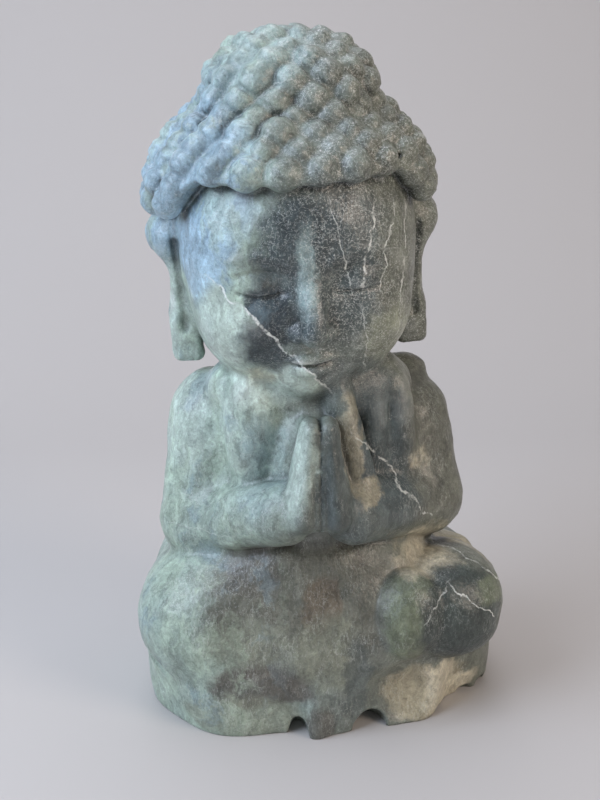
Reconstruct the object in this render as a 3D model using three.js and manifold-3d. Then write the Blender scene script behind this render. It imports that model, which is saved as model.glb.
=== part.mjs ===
// A praying child Buddha carved from one block of mottled green stone.
// It sits on folded legs under a robe, with the palms joined below the chin, and its large head is
// covered with rows of snail curls that rise to a broad topknot.
// Millimetres, +Z up. The figure looks towards -Y, and its own right hand is on the -X side.
// Left and right in the names below are as seen from the front.
// The forms are placed over the middle of the robe; at the end the carving is moved so that its
// origin is in the middle of its bounding box, on the flat underside.

import * as THREE from "three";
import { mergeVertices } from "three/addons/utils/BufferGeometryUtils.js";
import Module from "manifold-3d";

const HEAD_HEIGHT = 186; // middle of the head above the floor
const HEAD_SIDE = -8.7; // the head sits a little to the figure's right
const HEAD_LEAN = 3.2; // degrees, towards the figure's right shoulder
const HEAD_TURN = 1.5; // degrees, towards the figure's left
const HEAD_BOW = 6; // degrees, forwards
const FACE_FRONT = 46; // from the middle of the head to the plane of the face
const CHIN_GAP = 4; // height between the fingertips and the chin
const UNDERCUT = 5; // how far the forms run on below the floor before the flat cut
const STONE_COLOUR = 0x7f8f86;
const STONE_ROUGHNESS = 0.45;

// Fineness of the faceted solid.
const CELL = 2.4; // spacing of the points at which the form is sampled
const FACETS = 9700; // facets kept on the carved surface

// Distances to a form: negative inside the stone, positive outside.
const TINY = 1e-6;
const OUTSIDE = 2 * HEAD_HEIGHT; // stands for a form that is nowhere near

function join(a, b, soft) {
  const near = Math.max(soft - Math.abs(a - b), 0) / soft;
  return Math.min(a, b) - (near * near * soft) / 4;
}

function meet(a, b, soft) {
  return -join(-a, -b, soft);
}

function carve(stone, tool, soft) {
  return meet(stone, -tool, soft);
}

// An egg or, with power over 2, a fuller and squarer pebble.
function pebble(p, centre, radii, power = 2) {
  const x = p[0] - centre[0];
  const y = p[1] - centre[1];
  const z = p[2] - centre[2];
  const reach = Math.hypot(x, y, z);
  if (reach < TINY) return -Math.min(...radii);
  const k =
    (Math.abs(x / radii[0]) ** power +
      Math.abs(y / radii[1]) ** power +
      Math.abs(z / radii[2]) ** power) ** (1 / power);
  return reach * (1 - 1 / k);
}

// A limb from one ball to another.
function limb(p, from, to, fromRadius, toRadius) {
  const ax = to[0] - from[0];
  const ay = to[1] - from[1];
  const az = to[2] - from[2];
  const px = p[0] - from[0];
  const py = p[1] - from[1];
  const pz = p[2] - from[2];
  const along = (px * ax + py * ay + pz * az) / (ax * ax + ay * ay + az * az);
  const share = Math.min(1, Math.max(0, along));
  return (
    Math.hypot(px - ax * share, py - ay * share, pz - az * share) -
    (fromRadius + (toRadius - fromRadius) * share)
  );
}

function roundedBlock(p, centre, half, round) {
  const x = Math.abs(p[0] - centre[0]) - half[0] + round;
  const y = Math.abs(p[1] - centre[1]) - half[1] + round;
  const z = Math.abs(p[2] - centre[2]) - half[2] + round;
  const out = Math.hypot(Math.max(x, 0), Math.max(y, 0), Math.max(z, 0));
  return out + Math.min(Math.max(x, y, z), 0) - round;
}

const minus = (a, b) => [a[0] - b[0], a[1] - b[1], a[2] - b[2]];
const dot = (a, b) => a[0] * b[0] + a[1] * b[1] + a[2] * b[2];
const cross = (a, b) => [
  a[1] * b[2] - a[2] * b[1],
  a[2] * b[0] - a[0] * b[2],
  a[0] * b[1] - a[1] * b[0],
];
const between = (a, b, share) => a.map((v, i) => v + (b[i] - v) * share);

// 0 before the start, 1 after the end, smooth between.
function fade(value, start, end) {
  const t = Math.min(1, Math.max(0, (value - start) / (end - start)));
  return t * t * (3 - 2 * t);
}

// The head has its own frame, with its origin in the middle of the head.
const headFrame = new THREE.Matrix4()
  .makeRotationFromEuler(
    new THREE.Euler(
      THREE.MathUtils.degToRad(HEAD_BOW),
      THREE.MathUtils.degToRad(-HEAD_LEAN),
      THREE.MathUtils.degToRad(HEAD_TURN),
      "ZYX",
    ),
  )
  .setPosition(HEAD_SIDE, 0, HEAD_HEIGHT);
const toHead = headFrame.clone().invert().elements;

function inHead(p) {
  const m = toHead;
  return [
    m[0] * p[0] + m[4] * p[1] + m[8] * p[2] + m[12],
    m[1] * p[0] + m[5] * p[1] + m[9] * p[2] + m[13],
    m[2] * p[0] + m[6] * p[1] + m[10] * p[2] + m[14],
  ];
}

// Hair: a cap over the skull and topknot, set with rows of round curls in a diamond pattern.
const cap = {
  centre: [-1, 2, 16.5],
  radii: [51.5, 50, 38.5],
  knotCentre: [0.5, 3, 44],
  knotRadii: [29.5, 29.5, 27],
  knotPower: 2.5,
  napeCentre: [0, 12, -7],
  napeRadii: [39, 38, 37],
  blend: 6,
  rowPitch: 7.2,
  columnPitch: 13,
  curlRadius: 5.8,
  curlSunk: 2.4,
  curlBlend: 1.4,
  frontLine: 28, // height of the hairline over the brow
  sideLine: 15, // over the ears
  napeLine: -34, // at the back of the neck
  edge: 2.5, // rounding of the hairline
};

function capForm(p) {
  const skull = pebble(p, cap.centre, cap.radii);
  const knot = pebble(p, cap.knotCentre, cap.knotRadii, cap.knotPower);
  const nape = pebble(p, cap.napeCentre, cap.napeRadii);
  return join(join(skull, knot, cap.blend), nape, cap.blend);
}

// Height of the hairline at an angle round from the brow.
const TEMPLE = [0.8, 1.2];
const NAPE = [1.85, 2.4];

function hairline(turn) {
  const side = Math.abs(turn);
  const toSide = (cap.sideLine - cap.frontLine) * fade(side, ...TEMPLE);
  const toNape = (cap.napeLine - cap.sideLine) * fade(side, ...NAPE);
  return cap.frontLine + toSide + toNape;
}

// A point on the cap, at an angle down from the crown and a turn round from the brow.
function capPoint(down, turn) {
  const side = Math.sin(down);
  const dir = [side * Math.sin(turn), -side * Math.cos(turn), Math.cos(down)];
  const pointAt = (reach) => dir.map((d, i) => cap.centre[i] + d * reach);
  let near = 0;
  let far = 2 * cap.radii[0];
  for (let halving = 0; halving < 30; halving++) {
    const mid = (near + far) / 2;
    if (capForm(pointAt(mid)) < 0) near = mid;
    else far = mid;
  }
  return pointAt(near);
}

// Rows are laid down the side of the cap, and every second row is moved on by half a curl.
function layCurls() {
  const curls = [];
  const step = 0.01;
  const lowest = 2.6;
  let walked = 0;
  let row = 0;
  let last = capPoint(0, Math.PI / 2);
  for (let down = 0; down < lowest; down += step) {
    const here = capPoint(down, Math.PI / 2);
    walked += Math.hypot(here[0] - last[0], here[2] - last[2]);
    last = here;
    if (walked < row * cap.rowPitch) continue;
    const girth = 2 * Math.PI * Math.abs(here[0] - cap.centre[0]);
    const around = Math.max(1, Math.round(girth / cap.columnPitch));
    for (let column = 0; column < around; column++) {
      const share = (column + (row % 2) / 2) / around;
      const turn = 2 * Math.PI * (share > 0.5 ? share - 1 : share);
      const at = capPoint(down, turn);
      if (at[2] > hairline(turn) + 1) curls.push(at);
    }
    row++;
  }
  return curls;
}

// Each curl is a ball sunk into the cap towards its middle.
const curlBalls = layCurls().map((at) => {
  const out = at.map((v, i) => v - cap.centre[i]);
  const sunk = 1 - cap.curlSunk / Math.hypot(...out);
  return out.map((v, i) => cap.centre[i] + v * sunk);
});

// Curls are looked up by the block of space they are in, so that a point asks only its neighbours.
const BLOCK = 2 * cap.curlRadius;
const blockName = (i, j, k) => `${i},${j},${k}`;
const blockOf = (p) => p.map((v) => Math.floor(v / BLOCK));
const curlBlocks = new Map();
for (const ball of curlBalls) {
  const [bi, bj, bk] = blockOf(ball);
  for (let i = bi - 1; i <= bi + 1; i++)
    for (let j = bj - 1; j <= bj + 1; j++)
      for (let k = bk - 1; k <= bk + 1; k++) {
        const name = blockName(i, j, k);
        if (!curlBlocks.has(name)) curlBlocks.set(name, []);
        curlBlocks.get(name).push(ball);
      }
}

const CURL_REACH = 2 * cap.curlRadius; // farther than this from the cap no curl matters

function hair(p) {
  const turn = Math.atan2(p[0] - cap.centre[0], -(p[1] - cap.centre[1]));
  const belowLine = hairline(turn) - p[2];
  const shell = capForm(p);
  if (Math.abs(shell) > CURL_REACH) return Math.max(shell, belowLine);
  let curls = OUTSIDE;
  for (const ball of curlBlocks.get(blockName(...blockOf(p))) ?? []) {
    const away = Math.hypot(p[0] - ball[0], p[1] - ball[1], p[2] - ball[2]);
    curls = Math.min(curls, away - cap.curlRadius);
  }
  return join(meet(shell, belowLine, cap.edge), curls, cap.curlBlend);
}

// Face: a broad, calm child's face laid out in thirds from hairline to brow, nose and chin, with
// each eye a fifth of the face's width and the lids closed.
const face = {
  centre: [0, -8, -9],
  halfWidth: 41.5,
  halfHeight: 44,
  power: 2.5,
};
const FACE_TOP = cap.frontLine;
const FACE_CHIN = face.centre[2] - face.halfHeight;
const THIRD = (FACE_TOP - FACE_CHIN) / 3;
const BROW = FACE_TOP - THIRD;
const NOSE_BASE = BROW - THIRD;
const MOUTH = NOSE_BASE - THIRD / 3;
const EYE_OUT = (2 * face.halfWidth) / 5;
const EYE_LINE = BROW - THIRD / 4;
const FRONT = -FACE_FRONT;

function headShape(p) {
  const cranium = pebble(p, [0, 2, 6], [44, 47.5, 46]);
  const maskRadii = [face.halfWidth, FACE_FRONT + face.centre[1], face.halfHeight];
  const mask = pebble(p, face.centre, maskRadii, face.power);
  return join(cranium, mask, 6);
}

function features(p) {
  const side = [Math.abs(p[0]), p[1], p[2]];
  const cheek = pebble(side, [19, FRONT + 19, NOSE_BASE + 4], [16, 16, 15]);
  const chin = pebble(p, [0, FRONT + 15, FACE_CHIN + 11], [12, 11, 10]);
  const socket = pebble(side, [EYE_OUT, FRONT - 3, EYE_LINE + 1], [11, 6, 6.5]);
  const lid = pebble(side, [EYE_OUT, FRONT + 9, EYE_LINE], [9.2, 7.6, 6]);
  const nose = limb(p, [0, FRONT + 3, BROW - 1], [0, FRONT - 3.6, NOSE_BASE + 4.6], 3.4, 4.8);
  const nostril = pebble(side, [4.9, FRONT + 1, NOSE_BASE + 3.4], [3.7, 4.4, 3.4]);
  const upperLip = pebble(p, [0, FRONT + 5.5, MOUTH + 2], [9.4, 5, 2.8]);
  const lowerLip = pebble(p, [0, FRONT + 6, MOUTH - 2.6], [7.8, 5, 3.1]);
  let form = join(headShape(p), cheek, 6);
  form = join(form, chin, 7);
  form = carve(form, socket, 5);
  form = join(form, lid, 2.5);
  form = join(form, nose, 4);
  form = join(form, nostril, 2);
  form = join(form, upperLip, 2);
  return join(form, lowerLip, 2);
}

// Ears: long flat shells whose rims stand out below the hair, and which hang to square-ended lobes
// beside the jaw.
const ear = { out: 42.5, thick: 6, back: 4, deep: 10.5, top: 16, bottom: -45 };

function ears(p) {
  const side = [Math.abs(p[0]), p[1], p[2]];
  const middle = (ear.top + ear.bottom) / 2;
  const half = (ear.top - ear.bottom) / 2;
  const shell = pebble(side, [ear.out, ear.back, middle + 2], [ear.thick, ear.deep, half], 2.6);
  const lobeHalf = [ear.thick, ear.deep - 2, 9];
  const lobe = roundedBlock(side, [ear.out + 0.5, ear.back - 1, ear.bottom + 9], lobeHalf, 3);
  const rim = pebble(side, [ear.out + 4, ear.back, 3], [8.5, ear.deep, 9]);
  const hollow = pebble(side, [ear.out + ear.thick + 1.5, ear.back, middle + 2], [4, 5.5, 16]);
  const grooveTop = [ear.out + 1.5, ear.back - 11.5, ear.top - 14];
  const grooveEnd = [ear.out + 1, ear.back - 10.5, ear.bottom + 14];
  const groove = limb(side, grooveTop, grooveEnd, 2.2, 1.6);
  let form = join(shell, lobe, 6);
  form = join(form, rim, 8);
  form = carve(form, hollow, 2);
  return carve(form, groove, 2);
}

// No part of the head is farther than this from the middle of its cap.
const HEAD_REACH = Math.hypot(ear.out + ear.thick, cap.centre[2] - FACE_CHIN) + cap.blend;

function head(p) {
  const q = inHead(p);
  const far = Math.hypot(...minus(q, cap.centre)) - HEAD_REACH;
  if (far > cap.blend) return far;
  const skin = join(features(q), ears(q), 2.5);
  return join(skin, hair(q), 1.5);
}

// Trunk, shoulders and arms.
const HANDS_AT = -4; // the line between the palms
const arms = {
  left: { shoulder: [-39, 4, 116], elbow: [-45.5, -3, 76.5], wrist: [-16, -38, 90.5] },
  right: { shoulder: [34, 4, 113], elbow: [41, -3, 83], wrist: [9, -38, 90] },
  shoulderRadius: 18.5,
  elbowRadius: 16,
  wristRadius: 11.5,
};
const trunkForm = { at: [-1, 6, 94], radii: [46, 33, 46], power: 2.5 };
const CHEST = trunkForm.at[2] + trunkForm.radii[2] / 2; // height of the middle of the chest
const BACK = trunkForm.at[2]; // and of the back
const NECK_IN_HEAD = -41; // how far the neck runs up into the head, from the middle of the head
const neck = {
  top: [-5, 4, HEAD_HEIGHT + NECK_IN_HEAD],
  foot: [-2, 6, CHEST + 1],
  topRadius: 28,
  footRadius: 30,
};
const lapel = {
  top: [3.5, -29, CHEST + 19],
  foot: [12.5, -34, CHEST - 17],
  topRadius: 5.5,
  footRadius: 6.5,
};
// Stone is left standing under the jaw, so that nothing is open behind the folds of the robe.
const throat = { at: [neck.top[0] + 1, -8, CHEST + 14], radii: [39, 22, 18] };
// The robe is gathered behind the right shoulder.
const collar = { at: [arms.right.shoulder[0] + 1, 10, CHEST + 14], radii: [9, 9, 6.5] };

// Robe folds down each side of the chest and, plainer, down the back.
const folds = [
  { at: [-25.5, -20.5, CHEST + 1], radii: [11.5, 10.5, 27] },
  { at: [18, -20.5, CHEST - 6], radii: [7, 7, 26] },
  { at: [28.5, -17, CHEST - 6], radii: [7, 7, 26] },
  { at: [-24, 30, BACK - 2], radii: [9, 7, 40] },
  { at: [-4, 34, BACK - 2], radii: [9, 7, 44] },
  { at: [16, 32, BACK - 2], radii: [9, 7, 42] },
];

function trunk(p) {
  let form = pebble(p, trunkForm.at, trunkForm.radii, trunkForm.power);
  form = join(form, limb(p, neck.top, neck.foot, neck.topRadius, neck.footRadius), 8);
  form = join(form, pebble(p, throat.at, throat.radii), 4);
  form = join(form, pebble(p, collar.at, collar.radii), 5);
  form = join(form, limb(p, lapel.top, lapel.foot, lapel.topRadius, lapel.footRadius), 3);
  return folds.reduce((cloth, fold) => join(cloth, pebble(p, fold.at, fold.radii), 3), form);
}

function arm(p, joints) {
  const upper = limb(p, joints.shoulder, joints.elbow, arms.shoulderRadius, arms.elbowRadius);
  const fore = limb(p, joints.elbow, joints.wrist, arms.elbowRadius - 1, arms.wristRadius);
  return join(upper, fore, 5);
}

// Hands: two tapering palms side by side, with a narrow groove where they meet.
const hand = {
  base: 93,
  baseRadius: 7.2,
  tipRadius: 3.6,
  front: -44,
  deep: 1.8, // how many times deeper than wide
  meetBack: 0.8, // the palms meet this far behind their fronts
  gap: 0.6,
  grooveDepth: 1.2,
};
const HAND_TIP = HEAD_HEIGHT + FACE_CHIN - CHIN_GAP - hand.tipRadius;

// Stone is left standing between the hands and the chest, up to just below the fingertips, and broader
// against the chest.
const web = { half: [6, 18], foot: hand.base - 5, top: HAND_TIP, round: 3 };
const breast = { at: [HANDS_AT + 1, -25, hand.base + 7], radii: [18, 11, 31] };

function hands(p) {
  const away = Math.abs(p[0] - HANDS_AT);
  const q = [away, (p[1] - hand.front) / hand.deep, p[2]];
  const foot = [hand.baseRadius - 1, 1, hand.base];
  const end = [hand.tipRadius - 0.6, 0, HAND_TIP];
  const palm = limb(q, foot, end, hand.baseRadius, hand.tipRadius);
  const meetingRadius = hand.baseRadius - hand.meetBack;
  const meeting = limb(q, [0, 1, hand.base], [0, 0, HAND_TIP - 2], meetingRadius, hand.tipRadius);
  const webAt = [HANDS_AT, hand.front + web.half[1] - 2, (web.foot + web.top) / 2];
  const webHalf = [...web.half, (web.top - web.foot) / 2];
  const backing = join(
    roundedBlock(p, webAt, webHalf, web.round),
    pebble(p, breast.at, breast.radii),
    3,
  );
  const groove = Math.max(away - hand.gap, -hand.grooveDepth - palm);
  return join(carve(join(palm, meeting, 1), groove, 1), backing, 3);
}

function upperBody(p) {
  let form = join(trunk(p), arm(p, arms.left), 4);
  form = join(form, arm(p, arms.right), 4);
  return join(form, hands(p), 2.5);
}

// Lap, knees and the robe that spreads to a waved hem.
const skirt = {
  main: { at: [-5, 8, 24], radii: [63, 50, 52], power: 3 },
  rightSide: { at: [32, 13, 21], radii: [40.5, 33, 40], power: 3 },
  waves: 9,
  waveDepth: 1.6,
  waveTop: 42, // the waves die out at this height
};
const knees = {
  left: { at: [-43.5, -12, 39.5], radii: [28.5, 28, 26] },
  right: { at: [46, -15, 43.5], radii: [26, 26, 22], power: 2.3 },
  flap: { at: [31.5, -32, 45.5], radii: [15.5, 14, 18] }, // the robe drawn over the right knee
  hip: { at: [56.5, 8, 47], radii: [11, 12, 12.5] },
  belly: { at: [-3, -13, 65], radii: [40, 22, 15] },
};
// Cut under the right knee and into the hem.
const hem = {
  foldEnd: { at: [-4, -36, 7], radii: [6.5, 9, 20] },
  underKnee: { at: [38, -52, 14], radii: [29, 19, 21] },
  notch: { at: [-11, -42, 0], radii: [4, 12, 8] },
  arch: { at: [17, -40, 0], radii: [7, 14, 8] },
};

const valley = { top: [11, -47, 36], foot: [14, -48, 8], topRadius: 4, footRadius: 6 };
// A crease in the robe runs round the left side of the base and down to the hem.
const crease = {
  line: [[-73.5, 3, 28], [-70.5, -13, 26], [-64.5, -25, 23], [-55.5, -34, 14], [-49, -37, -4]],
  radius: 2.2,
};

function lap(p) {
  const turn = Math.atan2(p[0], -(p[1] - skirt.main.at[1]));
  const low = 1 - fade(p[2], UNDERCUT, skirt.waveTop);
  const wave = skirt.waveDepth * low * Math.cos(skirt.waves * turn);
  const spread = pebble(p, skirt.rightSide.at, skirt.rightSide.radii, skirt.rightSide.power);
  let form = pebble(p, skirt.main.at, skirt.main.radii, skirt.main.power);
  form = join(form, spread, 6) - wave;
  form = join(form, pebble(p, knees.left.at, knees.left.radii), 8);
  form = join(form, pebble(p, knees.hip.at, knees.hip.radii), 4);
  form = join(form, pebble(p, knees.belly.at, knees.belly.radii), 6);
  form = carve(form, pebble(p, hem.underKnee.at, hem.underKnee.radii), 5);
  form = carve(form, limb(p, valley.top, valley.foot, valley.topRadius, valley.footRadius), 4);
  for (const [i, start] of crease.line.slice(0, -1).entries())
    form = carve(form, limb(p, start, crease.line[i + 1], crease.radius, crease.radius), 2);
  form = join(form, pebble(p, knees.right.at, knees.right.radii, knees.right.power), 3);
  form = join(form, pebble(p, knees.flap.at, knees.flap.radii), 3);
  form = join(form, pebble(p, hem.foldEnd.at, hem.foldEnd.radii), 3);
  form = carve(form, pebble(p, hem.notch.at, hem.notch.radii), 1);
  return carve(form, pebble(p, hem.arch.at, hem.arch.radii), 1);
}

// Heights between which the three parts of the figure are worked out.
const PART_MARGIN = 12;
const LAP_TOP = Math.max(...[skirt.main, knees.belly].map((f) => f.at[2] + f.radii[2])) + PART_MARGIN;
const BODY_BOTTOM = trunkForm.at[2] - trunkForm.radii[2];
const BODY_TOP = neck.top[2] + PART_MARGIN;
const HEAD_BOTTOM = HEAD_HEIGHT + FACE_CHIN - 2 * PART_MARGIN;

function figure(p) {
  const legs = p[2] < LAP_TOP ? lap(p) : OUTSIDE;
  const body = p[2] > BODY_BOTTOM && p[2] < BODY_TOP ? upperBody(p) : OUTSIDE;
  const top = p[2] > HEAD_BOTTOM ? head(p) : OUTSIDE;
  const form = join(join(legs, body, 4), top, 2);
  return Math.max(form, -UNDERCUT - p[2]);
}

// Faceting: the form is sampled at the corners of a grid, and every grid cell is cut as six
// tetrahedra, which gives a closed surface.
const AXIS_ORDERS = [[0, 1, 2], [0, 2, 1], [1, 0, 2], [1, 2, 0], [2, 0, 1], [2, 1, 0]];
const NEAREST = 0.03; // share of an edge that a crossing keeps clear of the edge's ends

// The box that holds the form with some room to spare, found with steps of a coarse size.
const COARSE = 10;

function boxAround(distance) {
  const low = [Infinity, Infinity, -UNDERCUT - COARSE / 2];
  const high = [-Infinity, -Infinity, -Infinity];
  for (let z = 0; z < 2 * HEAD_HEIGHT; z += COARSE)
    for (let y = -HEAD_HEIGHT; y < HEAD_HEIGHT; y += COARSE)
      for (let x = -HEAD_HEIGHT; x < HEAD_HEIGHT; x += COARSE) {
        const p = [x, y, z];
        if (distance(p) > COARSE) continue;
        for (const axis of [0, 1]) low[axis] = Math.min(low[axis], p[axis] - COARSE / 2);
        for (const axis of [0, 1, 2]) high[axis] = Math.max(high[axis], p[axis] + COARSE / 2);
      }
  return { low, high };
}

function facet(distance) {
  const { low, high } = boxAround(distance);
  const size = low.map((v, i) => Math.ceil((high[i] - v) / CELL) + 1);
  const stride = [1, size[0], size[0] * size[1]];
  function cornerOf(n) {
    const j = Math.floor(n / stride[1]) % size[1];
    const k = Math.floor(n / stride[2]);
    return [low[0] + (n % size[0]) * CELL, low[1] + j * CELL, low[2] + k * CELL];
  }
  const field = new Float64Array(stride[2] * size[2]);
  for (let n = 0; n < field.length; n++) field[n] = distance(cornerOf(n)) || TINY;

  const points = [];
  const triangles = [];
  const known = new Map();
  function crossing(inside, outside) {
    const key = inside * field.length + outside;
    if (!known.has(key)) {
      const share = field[inside] / (field[inside] - field[outside]);
      const kept = Math.min(1 - NEAREST, Math.max(NEAREST, share));
      known.set(key, points.push(between(cornerOf(inside), cornerOf(outside), kept)) - 1);
    }
    return known.get(key);
  }
  function add(a, b, c, outward) {
    const facing = cross(minus(points[b], points[a]), minus(points[c], points[a]));
    triangles.push(dot(facing, outward) > 0 ? [a, b, c] : [a, c, b]);
  }
  function cutTetrahedron(inside, outside) {
    const middleOf = (set) => {
      const sum = set.map(cornerOf).reduce((total, at) => total.map((v, i) => v + at[i]));
      return sum.map((v) => v / set.length);
    };
    const outward = minus(middleOf(outside), middleOf(inside));
    if (inside.length === 2) {
      const [a, b] = inside;
      const [c, d] = outside;
      const quad = [crossing(a, c), crossing(a, d), crossing(b, d), crossing(b, c)];
      add(quad[0], quad[1], quad[2], outward);
      add(quad[0], quad[2], quad[3], outward);
    } else {
      const ends = inside.flatMap((a) => outside.map((b) => crossing(a, b)));
      add(...ends, outward);
    }
  }
  const isInside = (n) => field[n] < 0;
  const cell = [0, stride[0], stride[1], stride[2]];
  cell.push(stride[0] + stride[1], stride[0] + stride[2], stride[1] + stride[2]);
  cell.push(stride[0] + stride[1] + stride[2]);
  for (let k = 0; k < size[2] - 1; k++)
    for (let j = 0; j < size[1] - 1; j++)
      for (let i = 0; i < size[0] - 1; i++) {
        const first = i + j * stride[1] + k * stride[2];
        if (cell.every((step) => isInside(first + step) === isInside(first))) continue;
        for (const order of AXIS_ORDERS) {
          const second = first + stride[order[0]];
          const third = second + stride[order[1]];
          const corners = [first, second, third, third + stride[order[2]]];
          const inside = corners.filter(isInside);
          if (inside.length === 0 || inside.length === 4) continue;
          cutTetrahedron(inside, corners.filter((n) => !isInside(n)));
        }
      }
  return { points, triangles };
}

// Facets that would be lost are found with a heap, which always has the cheapest merge at its head.
function makeHeap() {
  const items = [];
  const swap = (i, j) => ([items[i], items[j]] = [items[j], items[i]]);
  return {
    size: () => items.length,
    push(item) {
      let i = items.push(item) - 1;
      while (i > 0) {
        const parent = (i - 1) >> 1;
        if (items[parent].cost <= items[i].cost) break;
        swap(i, parent);
        i = parent;
      }
    },
    pop() {
      const top = items[0];
      const last = items.pop();
      if (items.length === 0) return top;
      items[0] = last;
      let i = 0;
      for (;;) {
        const children = [2 * i + 1, 2 * i + 2].filter((child) => child < items.length);
        const cheaper = (best, child) => (items[child].cost < items[best].cost ? child : best);
        const least = children.reduce(cheaper, i);
        if (least === i) return top;
        swap(i, least);
        i = least;
      }
    },
  };
}

// Merging: the two ends of an edge become one point, flattest places first, until the wanted number
// of facets is left. Broad surfaces get large facets, and the curls and the face keep small ones.
const TERMS = 10; // of the sum of squared distances to a point's facets
const STEADY = 1e-4; // below this the best point of a merge is not well defined
const LONGEST_MOVE = 1.5; // of the edge's length
const LEAST_TURN = 0.3; // cosine of the most that a facet may turn in a merge

function simplify({ points, triangles }, wanted) {
  const around = points.map(() => new Set());
  const error = points.map(() => new Float64Array(TERMS));
  const version = points.map(() => 0);
  const facing = ([a, b, c]) => cross(minus(points[b], points[a]), minus(points[c], points[a]));
  const neighbours = (v) => new Set([...around[v]].flatMap((t) => triangles[t].filter((u) => u !== v)));
  const heap = makeHeap();

  triangles.forEach((corners, index) => {
    const out = facing(corners);
    const area = Math.max(Math.hypot(...out), TINY);
    const [x, y, z] = out.map((v) => v / area);
    const d = -dot([x, y, z], points[corners[0]]);
    const plane = [x * x, x * y, x * z, x * d, y * y, y * z, y * d, z * z, z * d, d * d];
    for (const v of corners) {
      around[v].add(index);
      plane.forEach((term, i) => (error[v][i] += term * area));
    }
  });

  function planMerge(a, b) {
    const [xx, xy, xz, xd, yy, yz, yd, zz, zd, dd] = error[a].map((term, i) => term + error[b][i]);
    const rows = [[xx, xy, xz], [xy, yy, yz], [xz, yz, zz]];
    const right = [-xd, -yd, -zd];
    const volume = dot(rows[0], cross(rows[1], rows[2]));
    let to = between(points[a], points[b], 0.5);
    if (Math.abs(volume) > STEADY * (xx + yy + zz) ** 3) {
      const best = [
        dot(right, cross(rows[1], rows[2])) / volume,
        dot(rows[0], cross(right, rows[2])) / volume,
        dot(rows[0], cross(rows[1], right)) / volume,
      ];
      const longest = LONGEST_MOVE * Math.hypot(...minus(points[a], points[b]));
      if (Math.hypot(...minus(best, to)) < longest) to = best;
    }
    const [x, y, z] = to;
    const squares = xx * x * x + yy * y * y + zz * z * z + dd;
    const products = xy * x * y + xz * x * z + yz * y * z + xd * x + yd * y + zd * z;
    heap.push({ cost: Math.max(squares + 2 * products, 0), a, b, to, ages: [version[a], version[b]] });
  }

  // A merge is refused if it would fold a facet over or pinch the surface.
  function turnsOver(v, other, to) {
    for (const t of around[v]) {
      const corners = triangles[t];
      if (corners.includes(other)) continue;
      const before = facing(corners);
      const kept = points[v];
      points[v] = to;
      const after = facing(corners);
      points[v] = kept;
      if (dot(before, after) < LEAST_TURN * Math.hypot(...before) * Math.hypot(...after)) return true;
    }
    return false;
  }
  function allowed({ a, b, to, ages }) {
    if (around[a].size === 0 || around[b].size === 0) return false;
    if (version[a] !== ages[0] || version[b] !== ages[1]) return false;
    const nearB = neighbours(b);
    if ([...neighbours(a)].filter((v) => nearB.has(v)).length !== 2) return false;
    return !turnsOver(a, b, to) && !turnsOver(b, a, to);
  }

  for (const [a, b, c] of triangles)
    for (const [u, v] of [[a, b], [b, c], [c, a]]) if (u < v) planMerge(u, v);

  let left = triangles.length;
  while (left > wanted && heap.size() > 0) {
    const merge = heap.pop();
    if (!allowed(merge)) continue;
    const { a, b, to } = merge;
    points[a] = to;
    for (const t of [...around[b]]) {
      if (triangles[t].includes(a)) {
        triangles[t].forEach((v) => around[v].delete(t));
        triangles[t] = null;
        left--;
      } else {
        triangles[t] = triangles[t].map((v) => (v === b ? a : v));
        around[a].add(t);
      }
    }
    around[b].clear();
    error[b].forEach((term, i) => (error[a][i] += term));
    version[a]++;
    for (const v of neighbours(a)) planMerge(a, v);
  }

  const flat = triangles.filter(Boolean).flatMap((corners) => corners.flatMap((v) => points[v]));
  return new THREE.BufferGeometry().setAttribute("position", new THREE.Float32BufferAttribute(flat, 3));
}

const wasm = await Module();
wasm.setup();

const WELD = 1e-4; // points closer than this are one point

function toSolid(geometry) {
  geometry.deleteAttribute("normal");
  geometry.deleteAttribute("uv");
  const merged = mergeVertices(geometry, WELD);
  return new wasm.Manifold(
    new wasm.Mesh({
      numProp: 3,
      vertProperties: merged.attributes.position.array,
      triVerts: new Uint32Array(merged.index.array),
    }),
  );
}

function toGeometry(solid) {
  const mesh = solid.getMesh();
  return new THREE.BufferGeometry()
    .setAttribute("position", new THREE.BufferAttribute(mesh.vertProperties, 3))
    .setIndex(new THREE.BufferAttribute(mesh.triVerts, 1));
}

// The underside is sawn flat at the floor.
const waste = new THREE.BoxGeometry(OUTSIDE, OUTSIDE, OUTSIDE).translate(0, 0, -OUTSIDE / 2);
const stone = toSolid(simplify(facet(figure), FACETS)).subtract(toSolid(waste));

const geometry = toGeometry(stone);
geometry.computeBoundingBox();
const middle = geometry.boundingBox.getCenter(new THREE.Vector3());
geometry.translate(-middle.x, -middle.y, 0);
geometry.computeVertexNormals();

const carving = new THREE.Mesh(
  geometry,
  new THREE.MeshStandardMaterial({ color: STONE_COLOUR, roughness: STONE_ROUGHNESS, metalness: 0 }),
);
carving.name = "buddha_carving";

const group = new THREE.Group();
group.add(carving);
export default group;
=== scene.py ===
import math

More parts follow.
